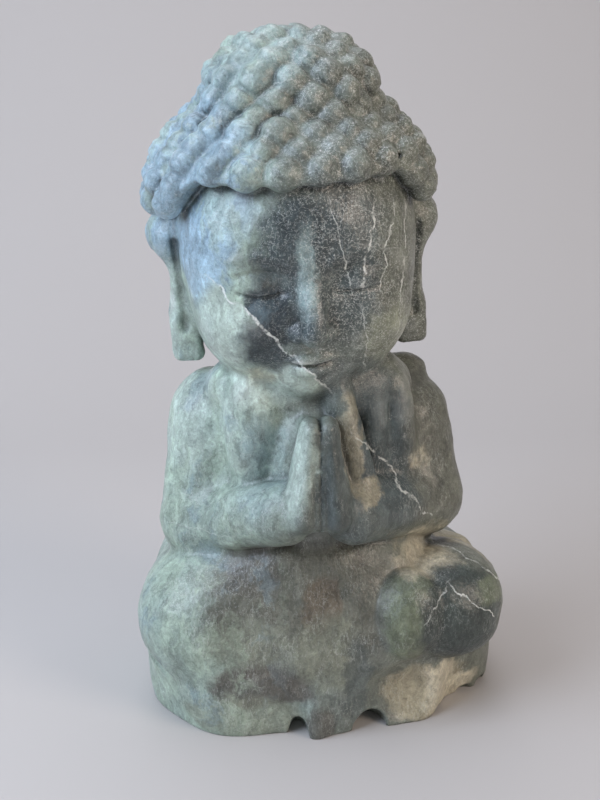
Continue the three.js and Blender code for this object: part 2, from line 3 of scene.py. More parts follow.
import bpy
import numpy as np
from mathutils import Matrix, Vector


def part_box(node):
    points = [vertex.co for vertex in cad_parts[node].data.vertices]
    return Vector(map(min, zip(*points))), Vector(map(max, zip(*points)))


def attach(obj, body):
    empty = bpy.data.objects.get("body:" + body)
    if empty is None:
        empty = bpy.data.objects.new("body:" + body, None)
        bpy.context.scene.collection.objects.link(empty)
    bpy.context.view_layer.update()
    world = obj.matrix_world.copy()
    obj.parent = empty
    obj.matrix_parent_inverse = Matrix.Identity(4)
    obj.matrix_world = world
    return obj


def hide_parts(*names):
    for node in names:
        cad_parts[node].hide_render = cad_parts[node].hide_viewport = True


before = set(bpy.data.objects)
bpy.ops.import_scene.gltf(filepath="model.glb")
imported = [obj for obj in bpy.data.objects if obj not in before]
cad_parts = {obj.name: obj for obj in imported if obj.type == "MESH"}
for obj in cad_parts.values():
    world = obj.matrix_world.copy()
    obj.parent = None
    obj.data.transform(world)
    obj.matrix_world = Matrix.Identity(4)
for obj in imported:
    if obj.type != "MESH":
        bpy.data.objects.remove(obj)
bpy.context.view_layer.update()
CAD_LOW, CAD_HIGH = [np.array(corner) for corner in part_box("buddha_carving")]
MM = 0.001


# The carved stone.
# One block of mottled green serpentine, cut by hand with chisels and points, rubbed down with
# abrasives and waxed to a satin polish. The forms are worked out in millimetres over the middle of
# the robe, with the figure looking towards -Y, and are moved at the end to fit the frame. Left and
# right are the viewer's.

HEAD_HEIGHT = 186.0
HEAD_SIDE = -8.7
HEAD_LEAN = math.radians(3.2)
HEAD_TURN = math.radians(1.5)
HEAD_BOW = math.radians(6.0)
FACE_FRONT = 46.0
LAP_TOP = 92.0  # the lap, the body and the head are only worked out between these heights
BODY_BOTTOM, BODY_TOP = 48.0, 157.0
HEAD_BOTTOM = 109.0
OUTSIDE = 200.0  # stands for any place well clear of the stone


# A form gives the distance of each point p from its surface, and is under 0 inside it.
def join(a, b, soft):
    near = np.maximum(soft - np.abs(a - b), 0.0) / soft
    return np.minimum(a, b) - near * near * soft / 4


def meet(a, b, soft):
    return -join(-a, -b, soft)


def carve(stone, tool, soft):
    return meet(stone, -tool, soft)


def pebble(p, centre, radii, power=2.0):
    """An egg, or with a higher power a rounded box. Small amounts keep its middle from dividing by 0."""
    q = p - np.array(centre)
    reach = np.sqrt((q * q).sum(1)) + 1e-6
    shares = np.abs(q / np.array(radii))
    if power == 2.0:
        k = np.sqrt((shares * shares).sum(1))
    else:
        k = (shares**power).sum(1) ** (1 / power)
    return reach * (1 - 1 / (k + 1e-9))


def limb(p, start, end, start_radius, end_radius):
    """A round bar with round ends."""
    start, end = np.array(start, float), np.array(end, float)
    axis = end - start
    share = np.clip((p - start) @ axis / (axis @ axis), 0, 1)
    away = p - start - share[:, None] * axis
    return np.sqrt((away * away).sum(1)) - (start_radius + (end_radius - start_radius) * share)


def rounded_block(p, centre, half, rounding):
    q = np.abs(p - np.array(centre)) - np.array(half) + rounding
    out = np.sqrt((np.maximum(q, 0) ** 2).sum(1))
    return out + np.minimum(q.max(1), 0) - rounding


def worked(form, p, steps):
    """The form with others joined to it or carved from it in turn."""
    for work, shape, sizes, soft in steps:
        form = work(form, shape(p, *sizes), soft)
    return form


def fade(value, start, end):
    t = np.clip((value - start) / (end - start), 0, 1)
    return t * t * (3 - 2 * t)


def mirrored(p):
    return np.column_stack([np.abs(p[:, 0]), p[:, 1], p[:, 2]])


# Rows of the turn from the head's own frame to the figure's.
cb, sb = math.cos(HEAD_BOW), math.sin(HEAD_BOW)
cl, sl = math.cos(-HEAD_LEAN), math.sin(-HEAD_LEAN)
ct, st = math.cos(HEAD_TURN), math.sin(HEAD_TURN)
BOW = np.array([[1, 0, 0], [0, cb, -sb], [0, sb, cb]])
LEAN = np.array([[cl, 0, sl], [0, 1, 0], [-sl, 0, cl]])
TURN = np.array([[ct, -st, 0], [st, ct, 0], [0, 0, 1]])
HEAD_FRAME = TURN @ LEAN @ BOW
HEAD_AT = np.array([HEAD_SIDE, 0.0, HEAD_HEIGHT])


def in_head(p):
    return (p - HEAD_AT) @ HEAD_FRAME


# Hair: a cap over skull, topknot and nape, with worn snail curls in a diamond pattern. Rows of curls
# are laid at even steps down the side of the cap, and every other row is shifted by half a curl.
CAP_CENTRE = np.array([-1.0, 2.0, 16.5])
CAP_RADII = (51.5, 50.0, 38.5)
KNOT = ((0.5, 3.0, 44.0), (29.5, 29.5, 27.0), 2.5)
NAPE = ((0.0, 12.0, -7.0), (39.0, 38.0, 37.0))
CAP_BLEND = 6.0
FRONT_LINE, SIDE_LINE, NAPE_LINE = 28.0, 15.0, -34.0  # heights of the hairline
TEMPLE_TURNS, NAPE_TURNS = (0.8, 1.2), (1.85, 2.4)  # turns from the brow where its height changes
LINE_EDGE = 2.5
ROW_PITCH, COLUMN_PITCH = 7.2, 13.0
LOWEST_ROW, ROW_SEARCH = 2.6, 0.01  # angles down from the crown
HALVINGS = 26
CURL_RADIUS, CURL_SUNK = 5.6, 2.1
CURL_SPREAD, CURL_STRAY = (0.88, 1.06), 0.7  # shares of the radius, and how far a curl is off its place
CURL_STRETCH = 1.12  # length of a curl over its width where they run together
STRETCH_SIDE = (-25, 20)  # from right to left, over which they begin to do so
CURL_TOUCH, CURL_BLEND = 1.0, 1.4  # softness between curls, and between curls and cap
CURL_REACH = 2 * CURL_RADIUS
CURL_MARGIN = 4
# Chisel marks on a curl: how fast they turn outwards, along x and along z, then depth and fade
MARK_PITCH, MARK_X, MARK_Z, MARK_DEPTH, MARK_FADE = 4.2, 0.9, 1.3, 0.16, (0.6, 2.2)
HAIR_PIT, PIT_EDGE = ((34.0, -31.0, 32.5), (1.2, 4.5, 1.4)), 0.5  # over the right temple


def cap_form(p):
    form = join(pebble(p, CAP_CENTRE, CAP_RADII), pebble(p, *KNOT), CAP_BLEND)
    return join(form, pebble(p, *NAPE), CAP_BLEND)


def hairline(turn):
    side = np.abs(turn)
    to_side = (SIDE_LINE - FRONT_LINE) * fade(side, *TEMPLE_TURNS)
    return FRONT_LINE + to_side + (NAPE_LINE - SIDE_LINE) * fade(side, *NAPE_TURNS)


def cap_point(down, turn):
    """The point on the cap at an angle down from the crown and a turn round from the brow."""
    side = math.sin(down)
    way = np.array([side * math.sin(turn), -side * math.cos(turn), math.cos(down)])
    near, far = 0.0, 2 * CAP_RADII[0]
    for _ in range(HALVINGS):
        mid = (near + far) / 2
        if cap_form((CAP_CENTRE + way * mid)[None])[0] < 0:
            near = mid
        else:
            far = mid
    return CAP_CENTRE + way * near


def unit(way):
    return way / (np.linalg.norm(way) + 1e-6)


def lay_curls():
    """Place, long way, radius and stretch of each curl."""
    chance = np.random.default_rng(7)
    curls = []
    walked, row, last = 0.0, 0, cap_point(0.0, math.pi / 2)
    for down in np.arange(0, LOWEST_ROW, ROW_SEARCH):
        here = cap_point(down, math.pi / 2)
        walked += math.hypot(here[0] - last[0], here[2] - last[2])
        last = here
        if walked < row * ROW_PITCH:
            continue
        around = max(1, round(2 * math.pi * abs(here[0] - CAP_CENTRE[0]) / COLUMN_PITCH))
        for column in range(around):
            share = (column + (row % 2) / 2) / around
            turn = 2 * math.pi * (share - 1 if share > 0.5 else share)
            at = cap_point(down, turn)
            if at[2] > hairline(turn) + 1:
                out = at - CAP_CENTRE
                out /= np.linalg.norm(out)
                up = unit(np.array([0, 0, 1.0]) - out * out[2])
                # On the left the curls run together along this slant.
                slant = unit(up + np.cross(up, out))
                size = CURL_RADIUS * chance.uniform(*CURL_SPREAD)
                place = at - out * CURL_SUNK + chance.uniform(-CURL_STRAY, CURL_STRAY, 3)
                stretch = 1 + (CURL_STRETCH - 1) * fade(-at[0], *STRETCH_SIDE)
                curls.append((place, slant, size, stretch))
        row += 1
    return curls


CURLS = lay_curls()


def curl_balls(p):
    order = np.argsort(p[:, 2])
    q = p[order]
    z = q[:, 2]
    form = np.full(len(p), OUTSIDE)
    for place, slant, size, stretch in CURLS:
        reach = size * stretch + CURL_MARGIN
        first, last = np.searchsorted(z, [place[2] - reach, place[2] + reach])
        if first == last:
            continue
        away = q[first:last] - place
        along = away @ slant
        squared = (away * away).sum(1) - along * along * (1 - 1 / stretch**2)
        ball = np.sqrt(np.maximum(squared, 0)) - size
        form[first:last] = join(form[first:last], ball, CURL_TOUCH)
    back = np.empty_like(form)
    back[order] = form
    return back


def hair(p):
    turn = np.arctan2(p[:, 0] - CAP_CENTRE[0], -(p[:, 1] - CAP_CENTRE[1]))
    below = hairline(turn) - p[:, 2]
    shell = cap_form(p)
    form = np.maximum(shell, below)
    near = np.abs(shell) < CURL_REACH
    if near.any():
        curls = curl_balls(p[near])
        worn = join(meet(shell[near], below[near], LINE_EDGE), curls, CURL_BLEND)
        # Chisel marks wind round each curl, rubbed faint.
        marks = np.sin(MARK_PITCH * curls + MARK_Z * p[near, 2] + MARK_X * p[near, 0])
        form[near] = worn + MARK_DEPTH * marks * fade(shell[near], *MARK_FADE)
        form[near] = carve(form[near], pebble(p[near], *HAIR_PIT), PIT_EDGE)
    return form


# Face: calm, broad and child-like, laid out in thirds from hairline to brow, nose and chin. Its two
# sides are alike, so it is worked out on one and mirrored.
FACE_CENTRE = np.array([0.0, -8.0, -9.0])
FACE_HALF_WIDTH, FACE_HALF_HEIGHT = 41.5, 44.0
FACE_CHIN = FACE_CENTRE[2] - FACE_HALF_HEIGHT
THIRD = (FRONT_LINE - FACE_CHIN) / 3
BROW = FRONT_LINE - THIRD
NOSE_BASE = BROW - THIRD
MOUTH = NOSE_BASE - THIRD / 3
EYE_OUT = 2 * FACE_HALF_WIDTH / 5
EYE_LINE = BROW - THIRD / 4
FRONT = -FACE_FRONT
CRANIUM = ((0, 2, 6), (44, 47.5, 46))
FACE_WORK = (
    # Joined or carved, the form, its sizes, softness
    (join, pebble, (FACE_CENTRE, (FACE_HALF_WIDTH, FACE_FRONT - 8, FACE_HALF_HEIGHT), 2.5), 6),
    (join, pebble, ((19, FRONT + 19, NOSE_BASE + 4), (16, 16, 15)), 6),  # cheek
    (join, pebble, ((0, FRONT + 15, FACE_CHIN + 11), (12, 11, 10)), 7),  # chin
    (carve, pebble, ((EYE_OUT, FRONT - 3, EYE_LINE + 1), (11, 6, 6.5)), 5),  # eye socket
    (join, pebble, ((EYE_OUT, FRONT + 9, EYE_LINE), (9.2, 7.6, 6)), 2.5),  # closed lids
    (join, limb, ((0, FRONT + 3, BROW - 1), (0, FRONT - 3.6, NOSE_BASE + 4.6), 3.4, 4.8), 4),  # nose
    (join, pebble, ((4.9, FRONT + 1, NOSE_BASE + 3.4), (3.7, 4.4, 3.4)), 2),  # its wing
    (carve, pebble, ((2.9, FRONT - 1.6, NOSE_BASE + 0.4), (1.5, 2.0, 1.6)), 0.8),  # nostril
    (join, pebble, ((0, FRONT + 5.5, MOUTH + 2), (9.4, 5, 2.8)), 2),  # upper lip
    (join, pebble, ((0, FRONT + 6, MOUTH - 2.6), (7.8, 5, 3.1)), 2),  # lower lip
)
FACE_STROKES = (
    # Depth, or under 0 the height, then middle, half length, height on the face, bow, width
    (0.9, EYE_OUT, 9.5, EYE_LINE - 3.6, 1.9, 0.75),  # between the lids
    (0.45, EYE_OUT, 10, EYE_LINE + 5.4, -2.6, 0.9),  # over the lids
    (-0.5, EYE_OUT + 1, 12.5, BROW + 4.2, -4.2, 1.7),  # eyebrow
    (0.8, 0, 10.5, MOUTH - 0.1, 1.1, 0.7),  # between the lips
)
STROKE_ENDS = (0.75, 1.05)  # shares of its half length where a stroke fades out
FACE_BACK = -20  # strokes stay in front of this
LIP_GROOVE_DEPTH, LIP_GROOVE_WIDTH, LIP_GROOVE_FOOT = 0.4, 1.8, (MOUTH + 2, MOUTH + 4)


def stroke(q, middle, half, height, bow, width):
    """1 on a bowed line on the front of the face, falling to 0 beside it and at its ends."""
    x = (q[:, 0] - middle) / half
    line = height + bow * x * x
    ends = 1 - fade(np.abs(x), *STROKE_ENDS)
    return np.exp(-(((q[:, 2] - line) / width) ** 2)) * ends * (q[:, 1] < FACE_BACK)


def features(p):
    side = mirrored(p)
    form = worked(pebble(side, *CRANIUM), side, FACE_WORK)
    for depth, *line in FACE_STROKES:
        form = form + depth * stroke(side, *line)
    lip_groove = np.exp(-((side[:, 0] / LIP_GROOVE_WIDTH) ** 2)) * (side[:, 1] < FACE_BACK)
    in_reach = fade(side[:, 2], *LIP_GROOVE_FOOT) * (side[:, 2] < NOSE_BASE)
    return form + LIP_GROOVE_DEPTH * lip_groove * in_reach


# Ears: long shells with a rim and a hollow, hanging to square-ended lobes.
EAR_OUT, EAR_THICK, EAR_BACK, EAR_DEEP, EAR_TOP, EAR_BOTTOM = 42.5, 6.0, 4.0, 10.5, 16.0, -45.0
EAR_MIDDLE, EAR_HALF = (EAR_TOP + EAR_BOTTOM) / 2, (EAR_TOP - EAR_BOTTOM) / 2
EAR_SHELL = ((EAR_OUT, EAR_BACK, EAR_MIDDLE + 2), (EAR_THICK, EAR_DEEP, EAR_HALF), 2.6)
EAR_LOBE = ((EAR_OUT + 0.5, EAR_BACK - 1, EAR_BOTTOM + 9), (EAR_THICK, EAR_DEEP - 2, 9), 3)
EAR_RIM = ((EAR_OUT + 4, EAR_BACK, 3), (8.5, EAR_DEEP, 9))
EAR_HOLLOW = ((EAR_OUT + EAR_THICK + 1.5, EAR_BACK, EAR_MIDDLE + 2), (4, 5.5, 16))
EAR_GROOVE_TOP = (EAR_OUT + 1.5, EAR_BACK - 11.5, EAR_TOP - 14)
EAR_GROOVE_END = (EAR_OUT + 1, EAR_BACK - 10.5, EAR_BOTTOM + 14)
EAR_WORK = (
    (join, rounded_block, EAR_LOBE, 6),
    (join, pebble, EAR_RIM, 8),
    (carve, pebble, EAR_HOLLOW, 2),
    (carve, limb, (EAR_GROOVE_TOP, EAR_GROOVE_END, 2.2, 1.6), 2),
)
HEAD_REACH = math.hypot(EAR_OUT + EAR_THICK, CAP_CENTRE[2] - FACE_CHIN) + CAP_BLEND
EAR_BLEND, HAIR_BLEND = 2.5, 1.5


def ears(p):
    side = mirrored(p)
    return worked(pebble(side, *EAR_SHELL), side, EAR_WORK)


def head(p):
    q = in_head(p)
    far = np.linalg.norm(q - CAP_CENTRE, axis=1) - HEAD_REACH
    form = far.copy()
    near = far < CAP_BLEND
    if near.any():
        r = q[near]
        form[near] = join(join(features(r), ears(r), EAR_BLEND), hair(r), HAIR_BLEND)
    return form


# Trunk, arms and praying hands under the robe.
ARMS = (
    # Shoulder, elbow, wrist
    ((-39, 4, 116), (-45.5, -3, 76.5), (-16, -38, 90.5)),
    ((34, 4, 113), (41, -3, 83), (9, -38, 90)),
)
SHOULDER_RADIUS, ELBOW_RADIUS, WRIST_RADIUS = 18.5, 16.0, 11.5
ELBOW_BLEND, ARM_BLEND, HAND_BLEND = 5, 4, 2.5
FOLDS = (
    # Middle and radii: three in front and three behind
    ((-25.5, -20.5, 118), (11.5, 10.5, 27)),
    ((18, -20.5, 111), (7, 7, 26)),
    ((28.5, -17, 111), (7, 7, 26)),
    ((-24, 30, 92), (9, 7, 40)),
    ((-4, 34, 92), (9, 7, 44)),
    ((16, 32, 92), (9, 7, 42)),
)
TRUNK = ((-1, 6, 94), (46, 33, 46), 2.5)
TRUNK_WORK = (
    (join, limb, ((-5, 4, 145), (-2, 6, 118), 28, 30), 8),  # neck
    (join, pebble, ((-4, -8, 131), (39, 22, 18)), 4),  # throat
    (join, pebble, ((35, 10, 131), (9, 9, 6.5)), 5),  # collar
    (join, limb, ((3.5, -29, 136), (12.5, -34, 100), 5.5, 6.5), 2),  # lapel
    *[(join, pebble, fold, 3) for fold in FOLDS],
)
HANDS_AT, HANDS_FRONT, HANDS_DEEP = -4.0, -44, 1.8  # place across and along, depth over width
HAND_BASE, HAND_TIP = 93, 125.4
PALM = ((6.2, 1, HAND_BASE), (3.0, 0, HAND_TIP), 7.2, 3.6)
PALMS_MEET = ((0, 1, HAND_BASE), (0, 0, HAND_TIP - 2), 6.4, 3.6)
GROOVE_HALF, GROOVE_DEPTH, HAND_SOFT = 0.25, 0.7, 0.8
WEB_FOOT, WEB_FRONT, WEB_HALF_WIDTH, WEB_HALF_DEPTH, WEB_ROUND = 88, -28, 6, 18, 3
WEB_AT = (HANDS_AT, WEB_FRONT, (WEB_FOOT + HAND_TIP) / 2)
WEB = (WEB_AT, (WEB_HALF_WIDTH, WEB_HALF_DEPTH, (HAND_TIP - WEB_FOOT) / 2), WEB_ROUND)
BREAST = ((HANDS_AT + 1, -25, 100), (18, 11, 31))
BACKING_BLEND = 3


def hands(p):
    """Two palms against each other with a faint groove between, backed by a web of stone."""
    away = np.abs(p[:, 0] - HANDS_AT)
    q = np.column_stack([away, (p[:, 1] - HANDS_FRONT) / HANDS_DEEP, p[:, 2]])
    palm = limb(q, *PALM)
    groove = np.maximum(away - GROOVE_HALF, -GROOVE_DEPTH - palm)
    backing = join(rounded_block(p, *WEB), pebble(p, *BREAST), BACKING_BLEND)
    pair = carve(join(palm, limb(q, *PALMS_MEET), HAND_SOFT), groove, HAND_SOFT)
    return join(pair, backing, BACKING_BLEND)


def upper_body(p):
    form = worked(pebble(p, *TRUNK), p, TRUNK_WORK)
    for shoulder, elbow, wrist in ARMS:
        upper = limb(p, shoulder, elbow, SHOULDER_RADIUS, ELBOW_RADIUS)
        fore = limb(p, elbow, wrist, ELBOW_RADIUS - 1, WRIST_RADIUS)
        form = join(form, join(upper, fore, ELBOW_BLEND), ARM_BLEND)
    return join(form, hands(p), HAND_BLEND)


# Lap, knees and the robe that spreads to a waved hem.
LAP, LAP_MIDDLE = ((-5, 8, 24), (63, 50, 52), 3), 8
SKIRT, SKIRT_BLEND = ((32, 13, 21), (40.5, 33, 40), 3), 6
WAVES, WAVE_DEPTH, WAVE_FADE = 9, 1.6, (5, 42)
CREASE = ((-73.5, 3, 28), (-70.5, -13, 26), (-64.5, -25, 23), (-55.5, -34, 14), (-49, -37, -4))
CREASE_RADIUS, CREASE_SOFT = 2.2, 1.2
CHIPS = (
    # Middle and radii of flakes knocked off the hem below the right knee
    ((60.5, -15.5, 0), (4.5, 4, 3.2)),
    ((53.5, -22, 0), (3.5, 3.5, 2.4)),
    ((67, -7.5, 1), (3.2, 4, 2.6)),
    ((46, -27, 0), (3, 3, 2)),
)
CHIP_EDGE = 0.6
LAP_WORK = (
    (join, pebble, ((-43.5, -12, 39.5), (28.5, 28, 26)), 8),  # left knee
    (join, pebble, ((56.5, 8, 47), (11, 12, 12.5)), 4),  # right hip
    (join, pebble, ((-3, -13, 65), (40, 22, 15)), 6),  # shelf of the lap
    (carve, pebble, ((38, -50.5, 14), (29, 19, 21.5)), 2.5),  # hollow under the right knee
    (carve, limb, ((11, -47, 36), (14, -48, 8), 4, 6), 4),  # valley beside it
    *[
        (carve, limb, (start, end, CREASE_RADIUS, CREASE_RADIUS), CREASE_SOFT)
        for start, end in zip(CREASE, CREASE[1:])
    ],
    (join, pebble, ((46, -15, 43.5), (26, 26, 22), 2.3), 0.8),  # right knee
    (join, pebble, ((31.5, -32, 45.5), (15.5, 14, 18)), 1.0),  # flap
    (join, pebble, ((-4, -36, 7), (6.5, 9, 20)), 3),  # tongue
    (carve, pebble, ((-11, -42, 0), (4, 12, 8)), 1),  # left arch
    (carve, pebble, ((17, -40, 0), (7, 14, 8)), 1),  # right arch
    *[(carve, pebble, chip, CHIP_EDGE) for chip in CHIPS],
)


def lap(p):
    turn = np.arctan2(p[:, 0], -(p[:, 1] - LAP_MIDDLE))
    wave = WAVE_DEPTH * (1 - fade(p[:, 2], *WAVE_FADE)) * np.cos(WAVES * turn)
    form = join(pebble(p, *LAP), pebble(p, *SKIRT), SKIRT_BLEND) - wave
    return worked(form, p, LAP_WORK)


WAIST_BLEND, CHIN_BLEND, FOOT_EDGE = 4, 2, 0.6


def figure(p):
    z = p[:, 2]
    form = np.full(len(p), OUTSIDE)
    low = z < LAP_TOP
    if low.any():
        form[low] = lap(p[low])
    middle = (z > BODY_BOTTOM) & (z < BODY_TOP)
    if middle.any():
        form[middle] = join(form[middle], upper_body(p[middle]), WAIST_BLEND)
    high = z > HEAD_BOTTOM
    if high.any():
        form[high] = join(form[high], head(p[high]), CHIN_BLEND)
    return meet(form, -z, FOOT_EDGE)


# Surface: the form is sampled only near the stone's skin, wrapped in a net of quads, and the net's
# points are then drawn onto the form.
CELL = 0.9
BLOCKS = ((8, 1.9), (4, 1.7))  # cells in a block's side, and how many of its reaches off counts as far
BATCH = 6000
REACH_LOW = np.array([-82.0, -66.0, -4.0])
REACH_HIGH = np.array([86.0, 66.0, 270.0])
SLOPE_STEP = 0.25
LEAST_SLOPE, MOST_PULL = 0.5, 0.5


def grid(steps):
    """All the triples of the steps along x, y and z."""
    return np.stack(np.meshgrid(*steps, indexing="ij"), -1).reshape(-1, 3)


def sample(low, high):
    """The form on a grid of cells. A block of cells far from the skin gets one value."""
    parent = BLOCKS[0][0]
    shape = (np.ceil((high - low) / (CELL * parent)).astype(int)) * parent
    field = np.full(shape, OUTSIDE)
    starts = grid([np.arange(0, count, parent) for count in shape])
    for size, far in BLOCKS:
        starts = (starts[:, None] + grid([np.arange(0, parent, size)] * 3)).reshape(-1, 3)
        value = figure(low + (starts + (size - 1) / 2) * CELL)
        close = np.abs(value) < far * size * CELL * math.sqrt(3) / 2
        for start, v in zip(starts[~close], value[~close]):
            field[tuple(slice(a, a + size) for a in start)] = v
        starts = starts[close]
        parent = size
    inner = grid([np.arange(parent)] * 3)
    for batch in np.array_split(starts, max(1, len(starts) // BATCH)):
        where = (batch[:, None] + inner).reshape(-1, 3)
        field[tuple(where.T)] = figure(low + where * CELL)
    return field


def surface_net(field, low):
    """A point in each cell that the skin crosses, and a quad round each edge that it crosses."""
    inside = field < 0
    halves = [slice(None, -1), slice(1, None)]
    total = sum(inside[tuple(halves[c] for c in corner)].astype(np.int8) for corner in grid([(0, 1)] * 3))
    mixed = (total > 0) & (total < 8)
    index = np.full(mixed.shape, -1)
    index[mixed] = np.arange(mixed.sum())
    cell = np.argwhere(mixed)
    place, count = np.zeros((len(cell), 3)), np.zeros(len(cell))
    for axis in range(3):
        step = np.zeros(3, int)
        step[axis] = 1
        for corner in grid([(0, 1)] * 3):
            if corner[axis]:
                continue
            a = field[tuple((cell + corner).T)]
            b = field[tuple((cell + corner + step).T)]
            crosses = (a < 0) != (b < 0)
            share = np.where(crosses, a / np.where(crosses, a - b, 1), 0)
            place += np.where(crosses[:, None], corner + share[:, None] * step, 0)
            count += crosses
    points = low + (cell + place / count[:, None]) * CELL
    quads = []
    for axis in range(3):
        u, v = np.roll(np.eye(3, dtype=int), -axis - 1, axis=0)[:2]
        before, after = [slice(None)] * 3, [slice(None)] * 3
        before[axis], after[axis] = slice(None, -1), slice(1, None)
        a, b = inside[tuple(before)], inside[tuple(after)]
        edge = np.argwhere(a != b)
        outwards = a[tuple(edge.T)]
        quad = np.stack([index[tuple((edge - d).T)] for d in (0 * u, u, u + v, v)], 1)
        quad[~outwards] = quad[~outwards][:, ::-1]
        quads.append(quad)
    return points, np.concatenate(quads)


def slope(p):
    parts = []
    for axis in range(3):
        move = np.zeros(3)
        move[axis] = SLOPE_STEP
        parts.append(figure(p + move) - figure(p - move))
    return np.stack(parts, 1) / (2 * SLOPE_STEP)


points, quads = surface_net(sample(REACH_LOW, REACH_HIGH), REACH_LOW)
grade = slope(points)
steep = np.maximum(np.linalg.norm(grade, axis=1), LEAST_SLOPE)
normals = grade / steep[:, None]
pull = np.clip(-figure(points) / steep, -MOST_PULL, MOST_PULL)
points += normals * pull[:, None]
points[:, 2] = np.maximum(points[:, 2], 0)
MIDDLE = (points.min(0) + points.max(0)) / 2
SHIFT = np.array([-MIDDLE[0], -MIDDLE[1], 0.0])

# Hand work: the skin is never quite even, in long and short waves, save where it rests.
RIPPLES = ((0.28, 16, 1), (0.1, 5.5, 2))  # height, length and the seed of its random draws
RIPPLE_FOOT = (0.5, 4)
RIPPLE_WAVES = 9
RIPPLE_SPREAD, RIPPLE_BEND = (0.7, 1.4), (0.8, 0.6)


def ripple(p, length, seed):
    """A smooth random surface between about -1 and 1, with waves of about that length."""
    chance = np.random.default_rng(seed)
    total = np.zeros(len(p))
    height, turn = RIPPLE_BEND
    for _ in range(RIPPLE_WAVES):
        way = chance.normal(size=3)
        way *= 2 * math.pi / length * chance.uniform(*RIPPLE_SPREAD) / np.linalg.norm(way)
        bend = height * np.sin(p[:, [1, 2, 0]] @ (way * turn) + chance.uniform(0, 6))
        total += np.sin(p @ way + chance.uniform(0, 6) + bend)
    return total / 4


uneven = sum(height * ripple(points, length, seed) for height, length, seed in RIPPLES)
points += normals * (uneven * fade(points[:, 2], *RIPPLE_FOOT))[:, None]


def make_mesh(name, verts, faces):
    mesh = bpy.data.meshes.new(name)
    mesh.vertices.add(len(verts))
    mesh.vertices.foreach_set("co", verts.ravel())
    mesh.loops.add(faces.size)
    mesh.loops.foreach_set("vertex_index", faces.ravel())
    mesh.polygons.add(len(faces))
    mesh.polygons.foreach_set("loop_start", np.arange(0, faces.size, faces.shape[1]))
    mesh.update(calc_edges=True)
    piece = bpy.data.objects.new(name, mesh)
    bpy.context.collection.objects.link(piece)
    return piece


# The net is thinned where the stone is smooth.
TRIANGLES = 190000
net = make_mesh("dense", (points + SHIFT) * MM, quads)
thin = net.modifiers.new("thin", "DECIMATE")
thin.ratio = TRIANGLES / (2 * len(quads))
thin.use_collapse_triangulate = True
evaluated = net.evaluated_get(bpy.context.evaluated_depsgraph_get())
mesh = bpy.data.meshes.new_from_object(evaluated)
mesh.name = "carved_stone"
bpy.data.objects.remove(net)
stone = bpy.data.objects.new("carved_stone", mesh)
bpy.context.collection.objects.link(stone)


def read_points(name):
    values = np.empty(3 * len(mesh.vertices))
    mesh.vertices.foreach_get(name, values)
    return values.reshape(-1, 3)


# How hollow the stone is at each point, felt a little way out: over 0 in grooves, under 0 on crests.
# The material uses it to paint shade into the grooves and a highlight onto the crests.
FEELER = 2.4
co = read_points("co")
felt = figure(co / MM - SHIFT + read_points("normal") * FEELER)
hollow_layer = mesh.attributes.new("hollow", "FLOAT", "POINT")
hollow_layer.data.foreach_set("value", np.clip(1 - felt / FEELER, -1, 1))

# The stone is fitted to the frame's box.
low, high = co.min(0), co.max(0)
scale = (CAD_HIGH - CAD_LOW) / (high - low)
co = (co - low) * scale + CAD_LOW
mesh.vertices.foreach_set("co", co.ravel())
mesh.polygons.foreach_set("use_smooth", np.ones(len(mesh.polygons), bool))
mesh.update()


# Waxed serpentine: a waxy green stone that lets a little light in. It is pale celadon on the
# left, clouded grey-brown in the lap and dark slate in the right knee and the upper face,
# and is crossed by thin white veins, fine hair lines and upright fibres.
def rgb(hex_colour):
    parts = [int(hex_colour[i : i + 2], 16) / 255 for i in (1, 3, 5)]
    linear = [c / 12.92 if c <= 0.04045 else ((c + 0.055) / 1.055) ** 2.4 for c in parts]
    return (*linear, 1.0)


SCALE_SOCKET = 3  # place of a vector maths node's scale among its inputs
MIX_SHARE, MIX_A, MIX_B, MIXED = 0, 6, 7, 2  # places of a mix node's colour inputs and output
NOISE_SPAN = (0.3, 0.7)  # where most of a noise's values lie


